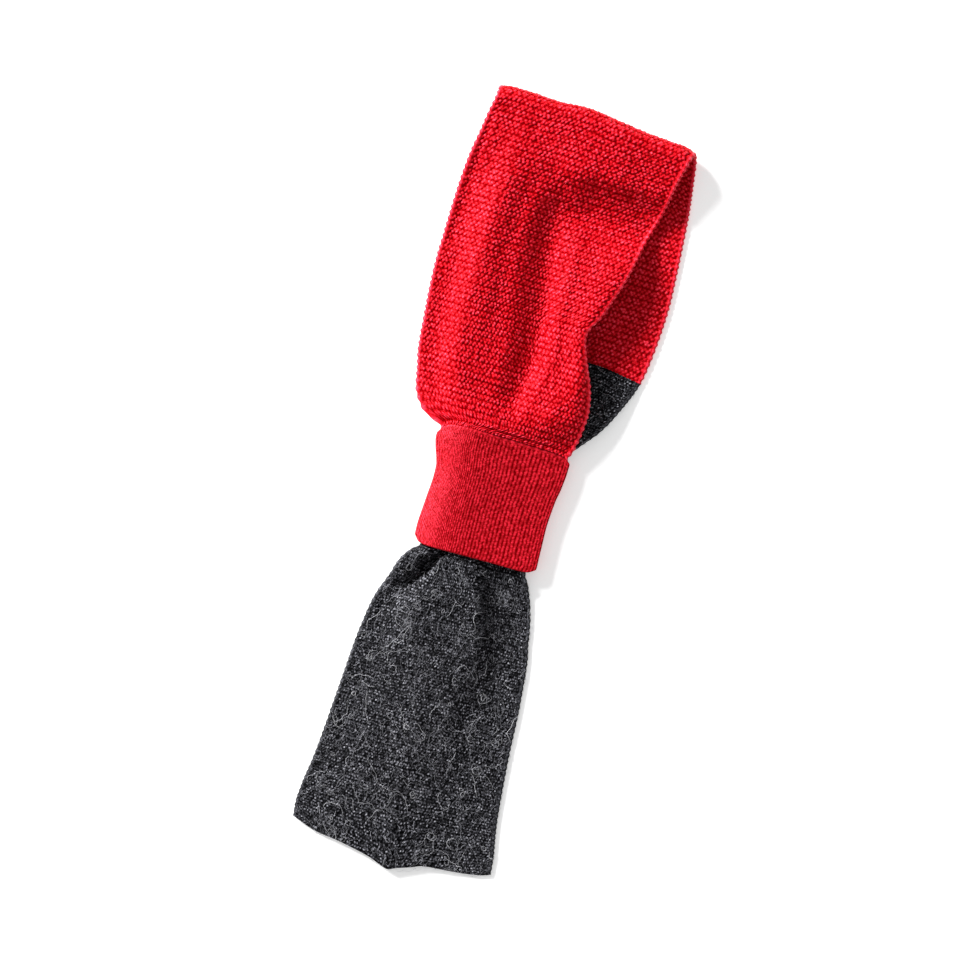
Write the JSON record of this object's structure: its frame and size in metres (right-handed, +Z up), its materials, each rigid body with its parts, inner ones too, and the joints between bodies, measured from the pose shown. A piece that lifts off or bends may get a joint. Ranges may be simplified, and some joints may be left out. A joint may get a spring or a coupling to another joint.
{
  "type": "knit scarf",
  "caption": "Pull-through knit scarf laid flat: a red and charcoal garter strip looped over and threaded through its own red rib cuff.",
  "frame": {"origin": "middle of the laid scarf's bounding box, at its underside", "axes": "+Y along the scarf from the tail's hem to the fold, +X to the right across it seen from above, +Z up from the surface it lies on"},
  "size_m": [0.1608, 0.5308, 0.0212],
  "materials": {
    "red_garter_knit": "matt wool-blend garter stitch, red",
    "charcoal_garter_knit": "matt, lightly felted garter stitch in charcoal melange with pale stray hairs",
    "red_rib_knit": "matt 1x1 rib, doubled, red"
  },
  "bodies": {
    "root": {"front_band_red": "red_garter_knit", "back_band_red": "red_garter_knit", "back_band_charcoal": "charcoal_garter_knit", "tail_charcoal": "charcoal_garter_knit", "rib_cuff": "red_rib_knit"}
  },
  "joints": []
}
